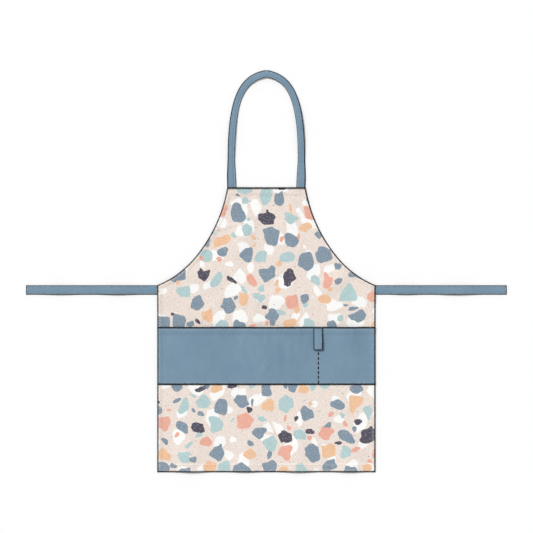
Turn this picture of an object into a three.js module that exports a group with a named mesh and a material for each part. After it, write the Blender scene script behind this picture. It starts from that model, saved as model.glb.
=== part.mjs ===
// A bib apron of printed cotton, laid out flat with its front up.
// Millimetres. +X runs to the right of the front, +Y from the bottom hem to the neck, +Z up from the table.
// Pieces are drawn in cloth coordinates, x from the centre line and y up from the bottom hem, and the group
// then moves the middle of the whole outline to the origin.
import * as THREE from "three";

// Driving dimensions
const clothThick = 1.3; // one layer of cotton
const tapeThick = 2; // straps and ties: a strip folded double and sewn flat
const seamGap = 0.3; // clearance between pieces that are sewn together

const body = { width: 650, length: 849, bibWidth: 233, shoulder: 557 };
const hem = { side: 12, end: 22, extra: clothThick, step: 2.5 };
const pocket = { bottom: 261, top: 431, hem: 20, divider: 154, fullness: 1.1 };
const towelLoop = { width: 27, drop: 68, thick: 1.6, gape: 6 };
const tie = { width: 27, length: 391, middle: 543, tail: 11 };
const neckStrap = { width: 21, footWidth: 27, footFlare: 75, height: 339, tail: 19 };

// The armhole is cut along two arcs. The upper one leaves the bib's corner leaning out by lean degrees and
// turns on by turn degrees, and the lower one carries on smoothly from there to the shoulder.
const armholeCut = { lean: 9.7, radius: 444, turn: 30.5 };

// The half arch of the neck strap's middle line: handles of one cubic curve from the foot to the crown,
// where the two halves meet in a blunt point.
const arch = { footHandle: { out: 9, up: 243 }, crownHandle: { out: 85, down: 14.5 } };

// Where the body cloth stands off the table. A row is a soft swell about (x, y): its crest runs along +Y
// turned by turn degrees, level for flatLong either way and gone after fadeLong more, and likewise across.
const strapFootX = (body.bibWidth - neckStrap.footWidth) / 2;
const tapeSeat = tapeThick + seamGap;
const strapSeat = { turn: 0, flatLong: 30, fadeLong: 70, flatWide: 20, fadeWide: 32, height: tapeSeat };
const tieSeat = { turn: 0, flatLong: 20, fadeLong: 40, flatWide: 28, fadeWide: 50, height: tapeSeat };
const swells = [
  // seats over the sewn-in ends of the neck strap and the ties
  { x: -strapFootX, y: body.length, ...strapSeat },
  { x: strapFootX, y: body.length, ...strapSeat },
  { x: -body.width / 2, y: tie.middle, ...tieSeat },
  { x: body.width / 2, y: tie.middle, ...tieSeat },
  // flutes that run up from the bottom hem
  { x: -222, y: 0, turn: 5, flatLong: 30, fadeLong: 180, flatWide: 0, fadeWide: 64, height: 5.5 },
  { x: -64, y: 0, turn: -8, flatLong: 20, fadeLong: 150, flatWide: 0, fadeWide: 58, height: 3.5 },
  { x: 96, y: 0, turn: 7, flatLong: 25, fadeLong: 170, flatWide: 0, fadeWide: 62, height: 5 },
  { x: 248, y: 0, turn: -6, flatLong: 20, fadeLong: 140, flatWide: 0, fadeWide: 56, height: 4 },
  // slack in the bib and along the cut of the armholes
  { x: -62, y: 722, turn: -24, flatLong: 10, fadeLong: 120, flatWide: 0, fadeWide: 46, height: 3.5 },
  { x: 66, y: 690, turn: 31, flatLong: 10, fadeLong: 130, flatWide: 0, fadeWide: 48, height: 4 },
  { x: -196, y: 588, turn: 62, flatLong: 0, fadeLong: 110, flatWide: 0, fadeWide: 44, height: 4.5 },
  { x: 212, y: 574, turn: -58, flatLong: 0, fadeLong: 105, flatWide: 0, fadeWide: 42, height: 4 },
  { x: 4, y: 520, turn: 84, flatLong: 20, fadeLong: 120, flatWide: 0, fadeWide: 40, height: 3 },
];

// How far the pocket's mouth gapes: one soft bulge a row, gone at the bottom seam.
const gapes = [
  { x: -196, reach: 112, height: 8 },
  { x: 14, reach: 126, height: 11.5 },
  { x: 238, reach: 70, height: 10.5 },
];

// Waves where a tie leaves the table, by the distance from the apron's side.
const tieWaves = {
  left: [
    { from: 118, reach: 72, height: 4 },
    { from: 292, reach: 64, height: 3 },
  ],
  right: [
    { from: 92, reach: 60, height: 3 },
    { from: 246, reach: 82, height: 4.5 },
  ],
};

// Waves along the neck strap, by the share of its whole length, and the lift of its inner edge at the crown.
const strapWaves = [
  { at: 0.21, reach: 0.13, height: 4 },
  { at: 0.76, reach: 0.15, height: 5 },
];
const crownBank = { reach: 0.16, height: 4.5 };

// How finely the walls are divided: a longest step in millimetres, or a count of divisions.
const step = { bodyRow: 36, armholeRow: 24, pocketColumn: 29, pocketRow: 24 };
const divisions = { bodyAcross: 18, strapHalf: 34, tie: 24, loop: 64 };

// 1 up to flat, then down to 0 over fade as a squared cosine.
function hump(distance, flat, fade) {
  const share = Math.max(0, Math.abs(distance) - flat) / fade;
  return share < 1 ? Math.cos((share * Math.PI) / 2) ** 2 : 0;
}

// Evenly spaced values from start to end, both included, no further apart than longest.
function steps(start, end, longest) {
  const count = Math.max(1, Math.ceil((end - start) / longest));
  return Array.from({ length: count + 1 }, (_, i) => start + ((end - start) * i) / count);
}

// A closed wall of cloth over a grid. at(row, column) gives a grid point's x and y and its faces' heights,
// with columns running to the right of rows as seen from above.
function clothWall(rows, columns, at) {
  const top = [];
  const under = [];
  for (const row of rows) {
    for (const column of columns) {
      const { x, y, low, high } = at(row, column);
      top.push(x, y, high);
      under.push(x, y, low);
    }
  }
  const across = columns.length;
  const along = rows.length;
  const underStart = across * along;
  const triangles = [];
  const quad = (a, b, c, d) => triangles.push(a, b, c, a, c, d);
  const point = (i, j) => i * across + j;
  for (let i = 0; i + 1 < along; i++) {
    for (let j = 0; j + 1 < across; j++) {
      const corners = [point(i, j), point(i, j + 1), point(i + 1, j + 1), point(i + 1, j)];
      quad(...corners);
      quad(...corners.reverse().map((corner) => corner + underStart));
    }
  }
  const rim = [
    ...Array.from({ length: across - 1 }, (_, j) => point(0, j)),
    ...Array.from({ length: along - 1 }, (_, i) => point(i, across - 1)),
    ...Array.from({ length: across - 1 }, (_, j) => point(along - 1, across - 1 - j)),
    ...Array.from({ length: along - 1 }, (_, i) => point(along - 1 - i, 0)),
  ];
  rim.forEach((here, k) => {
    const next = rim[(k + 1) % rim.length];
    quad(here, here + underStart, next + underStart, next);
  });
  const geometry = new THREE.BufferGeometry();
  geometry.setAttribute("position", new THREE.Float32BufferAttribute([...top, ...under], 3));
  geometry.setIndex(triangles);
  geometry.computeVertexNormals();
  return geometry;
}

// The armhole's arcs, both centred outside the cloth, and the direction in which their centres lie from the
// point where they meet.
const armhole = (() => {
  const facing = (degrees) => {
    const turn = THREE.MathUtils.degToRad(degrees);
    return new THREE.Vector2(Math.cos(turn), Math.sin(turn));
  };
  const corner = new THREE.Vector2(body.bibWidth / 2, body.length);
  const shoulder = new THREE.Vector2(body.width / 2, body.shoulder);
  const upper = { radius: armholeCut.radius };
  upper.centre = corner.clone().addScaledVector(facing(armholeCut.lean), upper.radius);
  const meeting = facing(armholeCut.lean + armholeCut.turn);
  const meetingPoint = upper.centre.clone().addScaledVector(meeting, -upper.radius);
  const chord = shoulder.clone().sub(meetingPoint);
  const lower = { radius: chord.lengthSq() / (2 * chord.dot(meeting)) };
  lower.centre = meetingPoint.clone().addScaledVector(meeting, lower.radius);
  return { upper, lower, meeting };
})();

// Half the body's width at height y, measured inset inside the cut edge.
function halfWidth(y, inset) {
  const { upper, lower, meeting } = armhole;
  const meetingY = lower.centre.y - (lower.radius + inset) * meeting.y;
  const arc = y > meetingY ? upper : lower;
  const radius = arc.radius + inset;
  const drop = arc.centre.y - y;
  const toArc = drop < radius ? arc.centre.x - Math.sqrt(radius ** 2 - drop ** 2) : Infinity;
  return Math.min(body.width / 2 - inset, toArc);
}

function bodyLift(x, y) {
  return swells.reduce((lift, s) => {
    const turn = THREE.MathUtils.degToRad(s.turn);
    const along = -(x - s.x) * Math.sin(turn) + (y - s.y) * Math.cos(turn);
    const across = (x - s.x) * Math.cos(turn) + (y - s.y) * Math.sin(turn);
    return lift + s.height * hump(along, s.flatLong, s.fadeLong) * hump(across, s.flatWide, s.fadeWide);
  }, 0);
}

// Bib and skirt: one panel, its four edges thicker by the turned-in hem.
function apronBody() {
  const hemEdge = hem.side + hem.step;
  const edges = [
    { inset: 0, hemmed: true },
    { inset: hem.side, hemmed: true },
    { inset: hemEdge, hemmed: false },
  ];
  const field = steps(-1, 1, 2 / divisions.bodyAcross).slice(1, -1);
  const columns = [
    ...edges.map((edge) => ({ share: -1, ...edge })),
    ...field.map((share) => ({ share, inset: hemEdge, hemmed: false })),
    ...edges.map((edge) => ({ share: 1, ...edge })).reverse(),
  ];
  const top = body.length;
  const underTie = tie.middle - tie.width / 2 - hem.step;
  const rows = [
    { y: 0, hemmed: true },
    { y: hem.end, hemmed: true },
    ...steps(hem.end + hem.step, underTie, step.bodyRow).map((y) => ({ y })),
    { y: tie.middle },
    ...steps(body.shoulder, top - hem.end - hem.step, step.armholeRow).map((y) => ({ y })),
    { y: top - hem.end, hemmed: true },
    { y: top, hemmed: true },
  ];
  return clothWall(rows, columns, (row, column) => {
    const x = column.share * halfWidth(row.y, column.inset);
    const low = bodyLift(x, row.y);
    const thick = clothThick + (row.hemmed || column.hemmed ? hem.extra : 0);
    return { x, y: row.y, low, high: low + thick };
  });
}

// Pocket panel: sewn down at both sides, at the bottom and along the divider, open at the top.
function frontPocket() {
  const side = body.width / 2;
  const hemLine = side - hem.side;
  const fieldLine = hemLine - hem.step;
  const columns = [
    { x: -side, onHem: true },
    { x: -hemLine, onHem: true },
    ...steps(-fieldLine, pocket.divider, step.pocketColumn).map((x) => ({ x })),
    ...steps(pocket.divider, fieldLine, step.pocketColumn / 2).slice(1).map((x) => ({ x })),
    { x: hemLine, onHem: true },
    { x: side, onHem: true },
  ];
  const mouthHem = pocket.top - pocket.hem;
  const rows = [
    ...steps(pocket.bottom, mouthHem - hem.step, step.pocketRow).map((y) => ({ y })),
    { y: mouthHem, hemmed: true },
    { y: pocket.top, hemmed: true },
  ];
  return clothWall(rows, columns, (row, column) => {
    const openness = ((row.y - pocket.bottom) / (pocket.top - pocket.bottom)) ** pocket.fullness;
    const rise = gapes.reduce((sum, g) => sum + g.height * hump(column.x - g.x, 0, g.reach), 0) * openness;
    const low = clothThick + (column.onHem ? hem.extra : 0) + seamGap + rise;
    const high = low + clothThick + (row.hemmed ? hem.extra : 0);
    return { x: column.x, y: row.y, low, high };
  });
}

// Neck strap: a flat band along the arch, its two feet tucked under the bib's top hem.
function neckBand() {
  const bibTop = body.length;
  const crown = bibTop + neckStrap.height;
  const half = (side) =>
    new THREE.CubicBezierCurve3(
      new THREE.Vector3(side * strapFootX, bibTop, 0),
      new THREE.Vector3(side * (strapFootX + arch.footHandle.out), bibTop + arch.footHandle.up, 0),
      new THREE.Vector3(side * arch.crownHandle.out, crown - arch.crownHandle.down, 0),
      new THREE.Vector3(0, crown, 0),
    ).getSpacedPoints(divisions.strapHalf);
  const foot = (side) => new THREE.Vector3(side * strapFootX, bibTop - neckStrap.tail, 0);
  const middle = [foot(1), ...half(1), ...half(-1).reverse().slice(1), foot(-1)];
  const last = middle.length - 1;
  const distance = [0];
  for (let k = 1; k <= last; k++) distance.push(distance[k - 1] + middle[k].distanceTo(middle[k - 1]));
  const whole = distance[last];
  const rows = middle.map((p, k) => {
    const before = middle[Math.max(k - 1, 0)];
    const after = middle[Math.min(k + 1, last)];
    const tangent = after.clone().sub(before).normalize();
    const fromFoot = Math.min(distance[k], whole - distance[k]) - neckStrap.tail;
    const flare = hump(fromFoot, neckStrap.tail, neckStrap.footFlare);
    const share = distance[k] / whole;
    return {
      p,
      tangent,
      halfWide: (neckStrap.width + (neckStrap.footWidth - neckStrap.width) * flare) / 2,
      lift: strapWaves.reduce((sum, w) => sum + w.height * hump(share - w.at, 0, w.reach), 0),
      bank: crownBank.height * hump(share - 0.5, 0, crownBank.reach),
    };
  });
  const columns = [{ side: -1 }, { side: 1 }]; // inner edge of the arch, then outer
  return clothWall(rows.reverse(), columns.reverse(), ({ p, tangent, halfWide, lift, bank }, { side }) => {
    const low = lift + (side < 0 ? bank : 0);
    return {
      x: p.x + side * halfWide * tangent.y,
      y: p.y - side * halfWide * tangent.x,
      low,
      high: low + tapeThick,
    };
  });
}

// Waist tie: a straight band, its sewn-in end under the side hem. side is -1 on the left, 1 on the right.
function waistTie(side, waves) {
  const edge = body.width / 2;
  const stations = [edge - tie.tail, ...steps(edge, edge + tie.length, tie.length / divisions.tie)];
  const rows = [-1, 1].map((end) => ({ y: tie.middle + (end * tie.width) / 2 }));
  const columns = stations.map((x) => ({ x: side * x, out: x - edge }));
  if (side < 0) columns.reverse();
  return clothWall(rows, columns, ({ y }, { x, out }) => {
    const low = waves.reduce((sum, w) => sum + w.height * hump(out - w.from, 0, w.reach), 0);
    return { x, y, low, high: low + tapeThick };
  });
}

// Towel loop: one tape folded in half, both ends on the pocket's top hem, the fold hanging over the divider.
// Its side view is a path in (y, z) from the under layer's end, round the fold, to the upper layer's end.
function hangingLoop() {
  const half = towelLoop.thick / 2;
  const onField = 2 * clothThick + 2 * seamGap + half;
  const onHem = onField + hem.extra;
  const doubled = onHem + towelLoop.thick + seamGap;
  const foldRadius = (towelLoop.gape + towelLoop.thick) / 2;
  const foldY = pocket.top - towelLoop.drop + half + foldRadius;
  const hemY = pocket.top - pocket.hem - hem.step;
  const bend = (hemY - foldY) / 2;
  const side = new THREE.Path();
  side.moveTo(pocket.top, onHem);
  side.lineTo(hemY, onHem);
  side.bezierCurveTo(hemY - bend, onHem, foldY + bend, onField, foldY, onField);
  side.absarc(foldY, onField + foldRadius, foldRadius, -Math.PI / 2, Math.PI / 2, true);
  side.bezierCurveTo(foldY + bend, onField + 2 * foldRadius, hemY, doubled, hemY + bend, doubled);
  side.lineTo(pocket.top, doubled);
  const edges = { inner: [], outer: [] };
  for (const share of steps(0, 1, 1 / divisions.loop)) {
    const p = side.getPointAt(share);
    const t = side.getTangentAt(share);
    edges.outer.push(new THREE.Vector2(p.x + t.y * half, p.y - t.x * half));
    edges.inner.push(new THREE.Vector2(p.x - t.y * half, p.y + t.x * half));
  }
  const outline = new THREE.Shape([...edges.outer, ...edges.inner.reverse()]);
  const geometry = new THREE.ExtrudeGeometry(outline, { depth: towelLoop.width, bevelEnabled: false });
  geometry.rotateX(Math.PI / 2); // the profile, drawn in (x, y), stands up in (x, z)
  geometry.rotateZ(Math.PI / 2); // and its length turns to run along +Y
  geometry.translate(pocket.divider - towelLoop.width / 2, 0, 0);
  return geometry;
}

const printedCotton = new THREE.MeshStandardMaterial({ color: 0xe9d8cd, roughness: 0.92, metalness: 0 });
const blueCotton = new THREE.MeshStandardMaterial({ color: 0x7b94a8, roughness: 0.9, metalness: 0 });

function piece(name, geometry, material) {
  const mesh = new THREE.Mesh(geometry, material);
  mesh.name = name;
  return mesh;
}

const apron = new THREE.Group();
apron.add(
  piece("apron_body", apronBody(), printedCotton),
  piece("front_pocket", frontPocket(), blueCotton),
  piece("towel_loop", hangingLoop(), blueCotton),
  piece("neck_strap", neckBand(), blueCotton),
  piece("tie_left", waistTie(-1, tieWaves.left), blueCotton),
  piece("tie_right", waistTie(1, tieWaves.right), blueCotton),
);
apron.position.y = -(body.length + neckStrap.height + neckStrap.width / 2) / 2;

export default apron;
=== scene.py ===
import math

import bpy
import numpy as np
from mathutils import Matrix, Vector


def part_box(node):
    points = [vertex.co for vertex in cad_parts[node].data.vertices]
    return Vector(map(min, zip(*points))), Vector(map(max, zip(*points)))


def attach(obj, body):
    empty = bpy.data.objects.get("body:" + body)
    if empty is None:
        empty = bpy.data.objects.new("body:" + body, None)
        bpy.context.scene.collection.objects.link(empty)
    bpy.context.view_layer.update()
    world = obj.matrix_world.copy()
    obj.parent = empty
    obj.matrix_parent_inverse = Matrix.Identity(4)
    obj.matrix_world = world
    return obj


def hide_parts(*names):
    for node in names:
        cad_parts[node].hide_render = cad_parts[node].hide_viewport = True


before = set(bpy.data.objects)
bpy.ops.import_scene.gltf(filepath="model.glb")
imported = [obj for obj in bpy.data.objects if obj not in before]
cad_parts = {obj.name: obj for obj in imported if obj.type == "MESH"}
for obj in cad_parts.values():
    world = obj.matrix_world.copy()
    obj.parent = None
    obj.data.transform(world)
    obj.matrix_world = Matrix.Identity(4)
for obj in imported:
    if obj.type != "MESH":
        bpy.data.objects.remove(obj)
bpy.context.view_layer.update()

# Shapes are worked out in millimetres of cloth: x from the apron's middle line, y up from the bottom hem,
# z up from the table. putInScene turns them into metres at the place where the solids lie.
mm = 0.001
clothOrigin = np.array([0.0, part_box("apron_body")[0][1], 0.0])

cloth = {
    "layer": 1.3,  # one thickness of cotton
    "tape": 2.0,  # straps and ties, folded double
    "seamGap": 0.3,  # air between pieces that are sewn together
    "roll": 0.5,  # how far a folded edge rounds out
    "panelEdge": 4.4,  # how far in from an edge its dark threads reach, on the panels
    "bibEdge": 7.2,  # at the bib's top
    "mouthEdge": 6.0,  # at the pocket's mouth
    "bandEdge": 2.6,  # and on the ties
    "wornReach": 3.0,  # how far past those threads the dye is rubbed
}
seamGroove = {"wide": 1.5, "near": 1.0, "front": 0.4, "back": 0.5}  # the valley that stitches pull down
edgePress = {"deep": 0.4, "before": 0.4, "after": 1.4}  # how the edge threads press both faces in
puckerDrift = [(1.6, 41, 0), (1.1, 23, 2)]  # slow waves in a ripple's pace: swing, length, start


# Shape helpers

def solidCorners(name):
    # a solid's lowest and highest corner in millimetres of cloth, to a hundredth
    return np.round((np.array(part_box(name)) - clothOrigin) / mm, 2)


def unit(vectors):
    # each vector over its own length
    return vectors / np.linalg.norm(vectors, axis=-1, keepdims=True)


def hump(distance, flat, fade):
    # 1 as far as flat, then a squared cosine that is down to 0 after fade more
    share = np.clip((np.abs(distance) - flat) / fade, 0, 1)
    return np.cos(share * np.pi / 2) ** 2


def ease(value, start, end):
    # 0 before start, 1 after end, and a cubic S between them
    share = np.clip((value - start) / (end - start), 0, 1)
    return share * share * (3 - 2 * share)


def bell(distance, reach):
    # a Gauss curve: 1 at distance 0, about a third at reach
    return np.exp(-((distance / reach) ** 2))


def softFolds(x, y, folds):
    # a sum of short ridges strewn at random: each is a squared cosine along and across its own line,
    # and the line bends away by bend times the square of the way along it
    rng = np.random.default_rng(folds["seed"])
    total = np.zeros(np.broadcast(x, y).shape)
    for _ in range(folds["count"]):
        middle = rng.uniform(folds["low"], folds["high"])
        turn = math.radians(rng.uniform(*folds["turn"]))
        reach = rng.uniform(*folds["reach"])
        wide = rng.uniform(*folds["wide"])
        height = rng.uniform(*folds["height"])
        bend = rng.uniform(-1, 1) * folds["bend"] / reach
        along = -(x - middle[0]) * math.sin(turn) + (y - middle[1]) * math.cos(turn)
        across = (x - middle[0]) * math.cos(turn) + (y - middle[1]) * math.sin(turn)
        total += height * hump(along, 0, reach) * hump(across - bend * along**2, 0, wide)
    return total


def pucker(along, fromSeam, seam):
    # ripples that a seam gathers: a sine along the seam whose pace drifts slowly, leaning a little across it,
    # and dying out as a Gauss curve of the distance from the seam
    drift = sum(swing * np.sin(along / length + start) for swing, length, start in puckerDrift)
    wave = np.sin(2 * np.pi * (along + seam["lean"] * fromSeam) / seam["pace"] + drift)
    return seam["height"] * wave * bell(fromSeam, seam["reach"])


def valleys(insets, rows):
    # the deepest of the Gauss valleys that rows of stitches press into the cloth, 1 at a row's middle
    return np.max([bell(inset - row, seamGroove["wide"]) for inset, row in zip(insets, rows)], axis=0)


def pressed(inset, reach):
    # how deep an edge is pressed under the threads that wrap it, easing out just past their reach
    return edgePress["deep"] * (1 - ease(inset, reach - edgePress["before"], reach + edgePress["after"]))


def bothFaces(x, y, low, high):
    # the points of the back and of the front over the same places
    return np.stack([x, y, low], -1), np.stack([x, y, high], -1)


def spaced(start, end, step):
    # even steps from start to end, none longer than step
    return np.linspace(start, end, max(1, math.ceil((end - start) / step)) + 1)


def walk(points):
    # the distance walked along a line of points
    leaps = np.linalg.norm(np.diff(points, axis=0), axis=1)
    return np.concatenate([[0], np.cumsum(leaps)])


def spotOn(line, walked, way):
    # the spot some way along a line of points, straight between one point and the next
    return np.stack([np.interp(way, walked, axis) for axis in line.T], -1)


def carriedAlong(line, walked, way, ahead):
    # the spot at each way along a line, and the unit heading there, from a spot behind to one as far ahead
    heading = spotOn(line, walked, way + ahead) - spotOn(line, walked, way - ahead)
    return spotOn(line, walked, way), unit(heading)


def addObject(name, data):
    made = bpy.data.objects.new(name, data)
    bpy.context.scene.collection.objects.link(made)
    return made


def putInScene(name, points, faces, cornerFlat, worn, finishes, finishIndex):
    # a mesh from whole arrays, with the cloth's own flat coordinates, in metres, as its UV map
    mesh = bpy.data.meshes.new(name)
    mesh.from_pydata((points * mm + clothOrigin).tolist(), [], faces.tolist())
    layer = mesh.uv_layers.new(name="flatCloth")
    layer.data.foreach_set("uv", (cornerFlat * mm).ravel())
    rubbed = mesh.attributes.new("worn", "FLOAT", "POINT")
    rubbed.data.foreach_set("value", worn)
    for finish in finishes:
        mesh.materials.append(finish)
    mesh.polygons.foreach_set("material_index", finishIndex)
    mesh.polygons.foreach_set("use_smooth", np.ones(len(faces), bool))
    mesh.update()
    return addObject(name, mesh)


def clothWall(name, upper, under, flat, clear, finishes, turned=None):
    # two grids of points, rows by columns, closed round the rim by a ring that stands out by the roll halfway
    # up the edge, so that a folded edge is round. The dye is rubbed where clear, the way in from the edge
    # threads, is short. Where turned marks a hem on the back, the back's faces take the front's finish and
    # the place on the cloth that was folded over there.
    rows, columns = upper.shape[:2]
    count = rows * columns
    index = np.arange(count).reshape(rows, columns)
    rim = np.concatenate([index[0, :-1], index[:-1, -1], index[-1, :0:-1], index[:0:-1, 0]])
    rimRow, rimColumn = np.divmod(rim, columns)
    inside = index[np.clip(rimRow, 1, rows - 2), np.clip(rimColumn, 1, columns - 2)]
    middle = ((upper + under) / 2).reshape(-1, 3)
    ring = middle[rim] + cloth["roll"] * unit(middle[rim] - middle[inside])
    points = np.concatenate([upper.reshape(-1, 3), under.reshape(-1, 3), ring])
    corners = [index[:-1, :-1], index[:-1, 1:], index[1:, 1:], index[1:, :-1]]
    top = np.stack(corners, -1).reshape(-1, 4)
    bottom = top[:, ::-1] + count
    here = np.arange(len(rim))
    after = np.roll(here, -1)
    ringStart = 2 * count
    upperRim = np.stack([rim, here + ringStart, after + ringStart, rim[after]], -1)
    lowerRim = np.stack([here + ringStart, rim + count, rim[after] + count, after + ringStart], -1)
    faces = np.concatenate([top, upperRim, lowerRim, bottom])
    spread = flat.reshape(-1, 2)
    cornerFlat = np.concatenate([spread, spread, spread[rim]])[faces]
    finishIndex = np.zeros(len(faces), np.int32)
    if turned is not None:
        onHem, foldedFrom = turned
        hemFace = onHem.ravel()[bottom - count].all(axis=1)
        backFaces = slice(-len(bottom), None)
        finishIndex[backFaces] = np.where(hemFace, 0, 1)
        folded = foldedFrom.reshape(-1, 2)[bottom - count]
        cornerFlat[backFaces] = np.where(hemFace[:, None, None], folded, cornerFlat[backFaces])
    rubbed = bell(np.maximum(clear.ravel(), 0), cloth["wornReach"])
    worn = np.concatenate([rubbed, rubbed, rubbed[rim]])
    return putInScene(name, points, faces, cornerFlat, worn, finishes, finishIndex)


def threadMesh(name, bundles, thread, finish):
    # threads with six sides: an ellipse, wide by tall, carried along each middle line, thinning towards both
    # ends as a fourth power. A bundle is middle lines, threads by points, and the way sideways at each point.
    sides = 6
    endThin = 0.5  # how much of the thread is gone at its very ends
    turn = 2 * np.pi * np.arange(sides) / sides
    centre = np.concatenate([lines for lines, _ in bundles])
    sideways = np.concatenate([np.broadcast_to(side, lines.shape) for lines, side in bundles])
    up = unit(np.cross(sideways, np.gradient(centre, axis=1)))
    total, rings = centre.shape[:2]
    thin = 1 - endThin * np.linspace(-1, 1, rings) ** 4
    wide = (thread["wide"] / 2 * np.outer(thin, np.cos(turn)))[None, :, :, None]
    tall = (thread["tall"] / 2 * np.outer(thin, np.sin(turn)))[None, :, :, None]
    points = centre[:, :, None] + wide * sideways[:, :, None] + tall * up[:, :, None]
    index = np.arange(rings * sides).reshape(rings, sides)
    turned = np.roll(index, -1, axis=1)
    skin = np.stack([index[:-1], index[1:], turned[1:], turned[:-1]], -1).reshape(-1, 4)
    first, last = index[0], index[-1]  # each end is closed by two halves of the six-sided ring
    caps = np.array([first[[0, 1, 2, 3]], first[[0, 3, 4, 5]], last[[3, 2, 1, 0]], last[[5, 4, 3, 0]]])
    oneThread = np.concatenate([skin, caps])
    faces = (oneThread[None] + (np.arange(total) * index.size)[:, None, None]).reshape(-1, 4)
    leaps = np.linalg.norm(np.diff(centre, axis=1), axis=-1)
    forward = np.concatenate([np.zeros((total, 1)), np.cumsum(leaps, axis=1)], axis=1)[..., None]
    girth = turn / 2 * thread["wide"]
    flat = np.stack(np.broadcast_arrays(girth, forward), -1).reshape(-1, 2)
    worn = np.zeros(len(flat))
    finishIndex = np.zeros(len(faces), np.int32)
    return putInScene(name, points.reshape(-1, 3), faces, flat[faces], worn, [finish], finishIndex)


def stitches(name, rows, thread, finish):
    # each stitch follows its row, arches away from the cloth by rise as a sine of the way along it and sinks
    # in at both ends. A row is a line of points on the cloth and the face it is sewn on, 1 front or -1 back.
    shares = np.array([0.0, 0.16, 0.5, 0.84, 1.0])  # points along a stitch
    up = np.array([0.0, 0.0, 1.0])
    bundles = []
    for line, face in rows:
        walked = walk(line)
        count = max(1, int(walked[-1] // thread["pitch"]))
        pitch = walked[-1] / count
        starts = (np.arange(count) + 0.5) * pitch - thread["length"] / 2
        places = starts[:, None] + shares * thread["length"]
        spots = spotOn(line, walked, places)
        lift = face * (thread["rise"] * np.sin(np.pi * shares) - thread["sink"])
        bundles.append((spots + lift[:, None] * up, unit(np.cross(spots[:, -1:] - spots[:, :1], up))))
    return threadMesh(name, bundles, thread, finish)


overcast = {
    "pitch": 1.8, "wide": 1.65, "tall": 0.6, "lift": 0.2, "slant": 1.4,
    "bend": 0.6,  # where a thread comes up out of the cloth, as a share of its reach
    "footReach": 0.6,  # how far it reaches onto the body below the pocket, as a share of its reach above
}


def edgeThreads(wrap, start, end, reach, backFace=-1):
    # threads close beside each other that wrap an edge. Each has seven points: its end in the front, its bend
    # there, the front's rim, the edge, the back's rim, the bend and the end in the back, each one a little
    # further along the edge. wrap gives the two faces at a way along the edge and an inset from it;
    # backFace 1 is for an edge that is sewn down on another front.
    count = max(2, round((end - start) / overcast["pitch"]))
    middles = start + (np.arange(count) + 0.5) * (end - start) / count
    along = middles[:, None] + overcast["slant"] * np.linspace(-0.5, 0.5, 7)
    roll = cloth["roll"]
    bend = overcast["bend"] * reach
    inset = np.broadcast_to(np.array([reach, bend, roll, roll, roll, bend, reach]), along.shape)
    under, upper = wrap(along, inset)
    through = upper - under
    onFront = np.array([1, 1, 1, 0.5, 0, 0, 0])[:, None]
    lift = overcast["lift"] * np.array([-1, 1, 1, 0, backFace, backFace, -backFace])[:, None]
    off = (roll + overcast["lift"]) * np.array([0, 0, 0, 1, 0, 0, 0])[:, None]
    outward = unit(upper[:, 2:3] - upper[:, :1])
    lines = under + onFront * through + lift * unit(through) + off * outward
    return lines, unit(np.gradient(lines[:, 3:4], axis=0))


# Material helpers

def paint(red, green, blue):
    # a colour as seen on a screen, 0 to 255, turned into the share of light that the surface gives back
    seen = np.array([red, green, blue]) / 255
    linear = np.where(seen <= 0.04045, seen / 12.92, ((seen + 0.055) / 1.055) ** 2.4)
    return (*linear.tolist(), 1.0)


def feed(tree, made, inputs):
    # a socket is linked to its input, and anything else becomes the input's own value
    for key, value in inputs.items():
        if isinstance(value, bpy.types.NodeSocket):
            tree.links.new(value, made.inputs[key])
        else:
            made.inputs[key].default_value = value


def node(tree, kind, inputs=None, **settings):
    # settings are the node's own, such as its operation
    made = tree.nodes.new(kind)
    for name, value in settings.items():
        setattr(made, name, value)
    feed(tree, made, inputs or {})
    return made


def calc(tree, operation, *values):
    return node(tree, "ShaderNodeMath", dict(enumerate(values)), operation=operation).outputs[0]


def vectorCalc(tree, operation, *values):
    # one step with vectors; a length and a dot product come back as a number
    made = node(tree, "ShaderNodeVectorMath", dict(enumerate(values)), operation=operation)
    return made.outputs["Value" if operation in ("LENGTH", "DOT_PRODUCT") else "Vector"]


def scaled(tree, vector, factor):
    made = node(tree, "ShaderNodeVectorMath", {0: vector, "Scale": factor}, operation="SCALE")
    return made.outputs[0]


def remap(tree, value, fromLow, fromHigh, toLow, toHigh):
    # a straight line from the first span to the second, held at both ends
    inputs = {0: value, 1: fromLow, 2: fromHigh, 3: toLow, 4: toHigh}
    return node(tree, "ShaderNodeMapRange", inputs).outputs[0]


def mixColour(tree, share, first, second):
    # share 0 gives the first colour, 1 the second
    return node(tree, "ShaderNodeMix", {0: share, 6: first, 7: second}, data_type="RGBA").outputs[2]


def noise(tree, place, size, detail=2.0, output="Fac"):
    # cloudy noise whose lumps are about size metres across
    inputs = {"Vector": place, "Scale": 1 / size, "Detail": detail, "Roughness": 0.5}
    return node(tree, "ShaderNodeTexNoise", inputs, noise_dimensions="2D").outputs[output]


cloudSpan = (0.3, 0.7)  # where most of the noise lies


def clouds(tree, place, size, detail=2.0):
    # noise that is stretched to run from 0 to 1
    return remap(tree, noise(tree, place, size, detail), *cloudSpan, 0, 1)


def cells(tree, place, size, feature, spread=1.0):
    # Voronoi cells about size metres across
    inputs = {"Vector": place, "Scale": 1 / size, "Randomness": spread}
    return node(tree, "ShaderNodeTexVoronoi", inputs, voronoi_dimensions="2D", feature=feature)


chanceStir = (20, 60)  # large factors, so that like cells draw unlike numbers


def chance(tree, cell, draw):
    # one of a cell's chance numbers: its colour times a vector that draw picks, less the whole part
    stir = np.random.default_rng(draw).uniform(*chanceStir, 3)
    return calc(tree, "FRACT", vectorCalc(tree, "DOT_PRODUCT", cell.outputs["Color"], tuple(stir)))


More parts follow.
